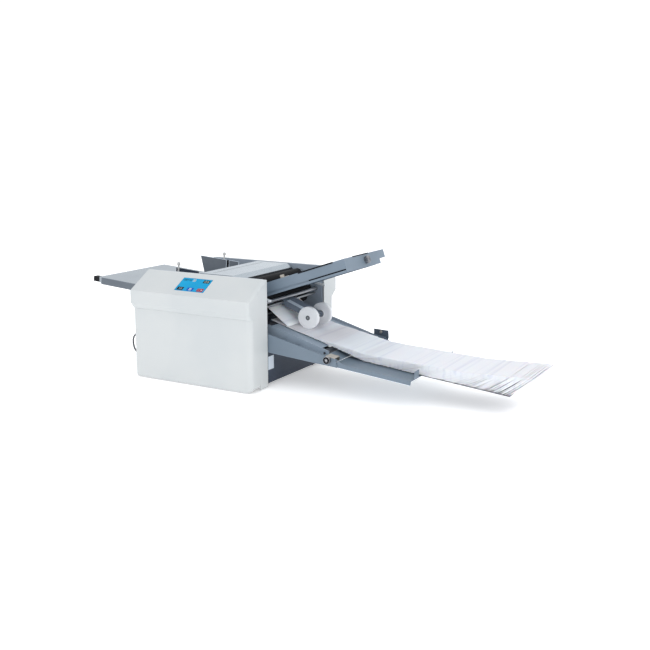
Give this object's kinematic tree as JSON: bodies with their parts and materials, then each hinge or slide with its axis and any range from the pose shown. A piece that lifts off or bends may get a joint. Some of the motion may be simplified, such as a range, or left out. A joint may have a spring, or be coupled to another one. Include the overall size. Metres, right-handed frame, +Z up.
{
  "type": "paper folding machine",
  "caption": "Desk-top paper folder: letters feed from a table under a cover, fold between rollers and fold plates, and leave over a belt conveyor with stacker wheels.",
  "frame": {"origin": "on the desk surface, under the middle of the whole machine's length and width", "axes": "+X along the paper path towards the delivery, +Y from the operator to the rear, +Z up"},
  "size_m": [1.6594, 0.5946, 0.4502],
  "materials": {
    "cover_plastic": "fine moulded texture",
    "frame_paint": "satin powder coat",
    "dark_paint": "satin powder coat",
    "rail_paint": "satin powder coat",
    "table_paint": "satin powder coat",
    "silver_metal": "brushed and clear coated",
    "bright_steel": "ground and polished",
    "zinc_plate": "zinc plated",
    "knob_chrome": "knurled and plated",
    "black_rubber": "matt",
    "roller_rubber": "ground rubber",
    "wheel_plastic": "smooth moulded",
    "dark_plastic": "fine moulded texture",
    "screen_glass": "lit display under clear cover",
    "board": "solder mask",
    "letter_paper": "uncoated office paper",
    "cord_rubber": "smooth flexible sheath"
  },
  "bodies": {
    "housing": {"base_pan": "dark_paint", "front_frame": "frame_paint", "rear_frame": "frame_paint", "cross_rods": "bright_steel", "rubber_feet": "black_rubber", "front_hood": "cover_plastic", "rear_hood": "cover_plastic", "touch_screen": "screen_glass", "front_panel": "cover_plastic", "rear_panel": "cover_plastic", "control_board": "board", "infeed_table": "table_paint", "table_end_block": "black_rubber", "separator": "bright_steel", "feed_guide": "dark_paint", "drive_motor": "dark_plastic", "drive_belt": "black_rubber", "plate_support_bars": "silver_metal", "second_plate": "dark_paint", "near_conveyor_arm": "rail_paint", "far_conveyor_arm": "rail_paint", "conveyor_bed": "rail_paint", "conveyor_belts": "black_rubber", "near_clamp_bracket": "zinc_plate", "far_clamp_bracket": "dark_paint", "folded_letters": "letter_paper", "switch_housing": "dark_plastic", "strain_relief": "cord_rubber", "power_cord": "cord_rubber", "cord_coil": "cord_rubber", "power_plug": "cord_rubber"},
    "feed_cover": {"feed_cover": "silver_metal"},
    "feed_roller": {"feed_roller": "roller_rubber"},
    "fold_roller_1": {"fold_roller_1": "bright_steel"},
    "fold_roller_2": {"fold_roller_2": "bright_steel", "drive_pulley": "bright_steel"},
    "fold_roller_3": {"fold_roller_3": "bright_steel"},
    "fold_roller_4": {"fold_roller_4": "bright_steel"},
    "motor_pulley": {"motor_pulley": "bright_steel"},
    "near_guide": {"near_guide": "dark_paint"},
    "near_guide_screw": {"near_guide_screw": "knob_chrome"},
    "far_guide": {"far_guide": "rail_paint"},
    "far_guide_screw": {"far_guide_screw": "knob_chrome"},
    "fold_plate": {"plate_frame": "rail_paint", "plate_upper_sheet": "rail_paint", "plate_lower_sheet": "rail_paint"},
    "plate_stop": {"plate_stop": "bright_steel"},
    "plate_stop_knob": {"plate_stop_knob": "knob_chrome"},
    "second_plate_stop": {"second_plate_stop": "bright_steel"},
    "conveyor_drive_roller": {"conveyor_drive_roller": "bright_steel"},
    "conveyor_idle_roller": {"conveyor_idle_roller": "bright_steel"},
    "extension": {"extension_plate": "rail_paint", "extension_sheet": "dark_paint"},
    "near_clamp_knob": {"near_clamp_knob": "knob_chrome"},
    "far_clamp_knob": {"far_clamp_knob": "knob_chrome"},
    "stacker_arm": {"stacker_arm": "dark_paint"},
    "stacker_wheels": {"stacker_wheel_shaft": "bright_steel", "stacker_wheels": "wheel_plastic"},
    "switch_rocker": {"switch_rocker": "dark_plastic"}
  },
  "joints": [
    {"name": "feed_cover_hinge", "type": "hinge", "parent": "housing", "child": "feed_cover", "pos_m": [-0.34233, 0.008, 0.362], "axis": [0, -1, 0], "range_deg": [0, 75]},
    {"name": "feed_roller_turn", "type": "hinge", "parent": "housing", "child": "feed_roller", "pos_m": [-0.26933, 0.008, 0.30833], "axis": [0, 1, 0], "continuous": true},
    {"name": "fold_roller_1_turn", "type": "hinge", "parent": "housing", "child": "fold_roller_1", "pos_m": [-0.16282, 0.008, 0.33577], "axis": [0, 1, 0], "continuous": true},
    {"name": "fold_roller_2_turn", "type": "hinge", "parent": "housing", "child": "fold_roller_2", "pos_m": [-0.1535, 0.008, 0.301], "axis": [0, 1, 0], "continuous": true},
    {"name": "fold_roller_3_turn", "type": "hinge", "parent": "housing", "child": "fold_roller_3", "pos_m": [-0.12233, 0.008, 0.283], "axis": [0, 1, 0], "continuous": true},
    {"name": "fold_roller_4_turn", "type": "hinge", "parent": "housing", "child": "fold_roller_4", "pos_m": [-0.14033, 0.008, 0.25182], "axis": [0, 1, 0], "continuous": true},
    {"name": "motor_turn", "type": "hinge", "parent": "housing", "child": "motor_pulley", "pos_m": [-0.26933, 0.008, 0.1], "axis": [0, 1, 0], "continuous": true},
    {"name": "near_guide_slide", "type": "slide", "parent": "housing", "child": "near_guide", "axis": [0, 1, 0], "range_m": [-0.036, 0.06]},
    {"name": "near_guide_screw_turn", "type": "hinge", "parent": "near_guide", "child": "near_guide_screw", "pos_m": [-0.48513, -0.116, 0.29888], "axis": [0.0732, 0, 0.9973], "range_deg": [0, 270]},
    {"name": "far_guide_slide", "type": "slide", "parent": "housing", "child": "far_guide", "axis": [0, 1, 0], "range_m": [-0.06, 0.036]},
    {"name": "far_guide_screw_turn", "type": "hinge", "parent": "far_guide", "child": "far_guide_screw", "pos_m": [-0.46419, 0.132, 0.29734], "axis": [0.0732, 0, 0.9973], "range_deg": [0, 270]},
    {"name": "fold_plate_slide", "type": "slide", "parent": "housing", "child": "fold_plate", "axis": [0.9461, 0, 0.3239], "range_m": [0, 0.08]},
    {"name": "plate_stop_slide", "type": "slide", "parent": "fold_plate", "child": "plate_stop", "axis": [0.9461, 0, 0.3239], "range_m": [-0.16, 0.045]},
    {"name": "plate_stop_knob_turn", "type": "hinge", "parent": "fold_plate", "child": "plate_stop_knob", "pos_m": [0.20626, 0.008, 0.42945], "axis": [0.9461, 0, 0.3239], "range_deg": [0, 270]},
    {"name": "second_plate_stop_slide", "type": "slide", "parent": "housing", "child": "second_plate_stop", "axis": [0.866, 0, 0.5], "range_m": [-0.06, 0.16]},
    {"name": "conveyor_drive_turn", "type": "hinge", "parent": "housing", "child": "conveyor_drive_roller", "pos_m": [-0.09204, 0.008, 0.1967], "axis": [0, 1, 0], "continuous": true},
    {"name": "conveyor_idle_turn", "type": "hinge", "parent": "housing", "child": "conveyor_idle_roller", "pos_m": [0.13345, 0.008, 0.13416], "axis": [0, 1, 0], "continuous": true},
    {"name": "extension_slide", "type": "slide", "parent": "housing", "child": "extension", "axis": [0.9952, 0, -0.0976], "range_m": [-0.03, 0.06]},
    {"name": "near_clamp_knob_turn", "type": "hinge", "parent": "housing", "child": "near_clamp_knob", "pos_m": [0.16767, 0.008, 0.124], "axis": [0, 1, 0], "range_deg": [0, 270]},
    {"name": "far_clamp_knob_turn", "type": "hinge", "parent": "housing", "child": "far_clamp_knob", "pos_m": [0.16767, 0.008, 0.124], "axis": [0, 1, 0], "range_deg": [0, 270]},
    {"name": "stacker_arm_lift", "type": "hinge", "parent": "housing", "child": "stacker_arm", "pos_m": [-0.09733, 0.008, 0.266], "axis": [0, -1, 0], "range_deg": [0, 30]},
    {"name": "stacker_wheels_turn", "type": "hinge", "parent": "stacker_arm", "child": "stacker_wheels", "pos_m": [0.01342, 0.008, 0.22338], "axis": [0, 1, 0], "continuous": true},
    {"name": "switch_rocker_tilt", "type": "hinge", "parent": "housing", "child": "switch_rocker", "pos_m": [-0.55133, -0.052, 0.11], "axis": [0, 1, 0], "range_deg": [0, 16]}
  ],
  "couplings": [
    {"joint": "fold_roller_1_turn", "follows": "fold_roller_2_turn", "ratio": -1},
    {"joint": "fold_roller_3_turn", "follows": "fold_roller_2_turn", "ratio": -1},
    {"joint": "fold_roller_4_turn", "follows": "fold_roller_2_turn", "ratio": 1},
    {"joint": "motor_turn", "follows": "fold_roller_2_turn", "ratio": 2.5},
    {"joint": "conveyor_idle_turn", "follows": "conveyor_drive_turn", "ratio": 1}
  ]
}
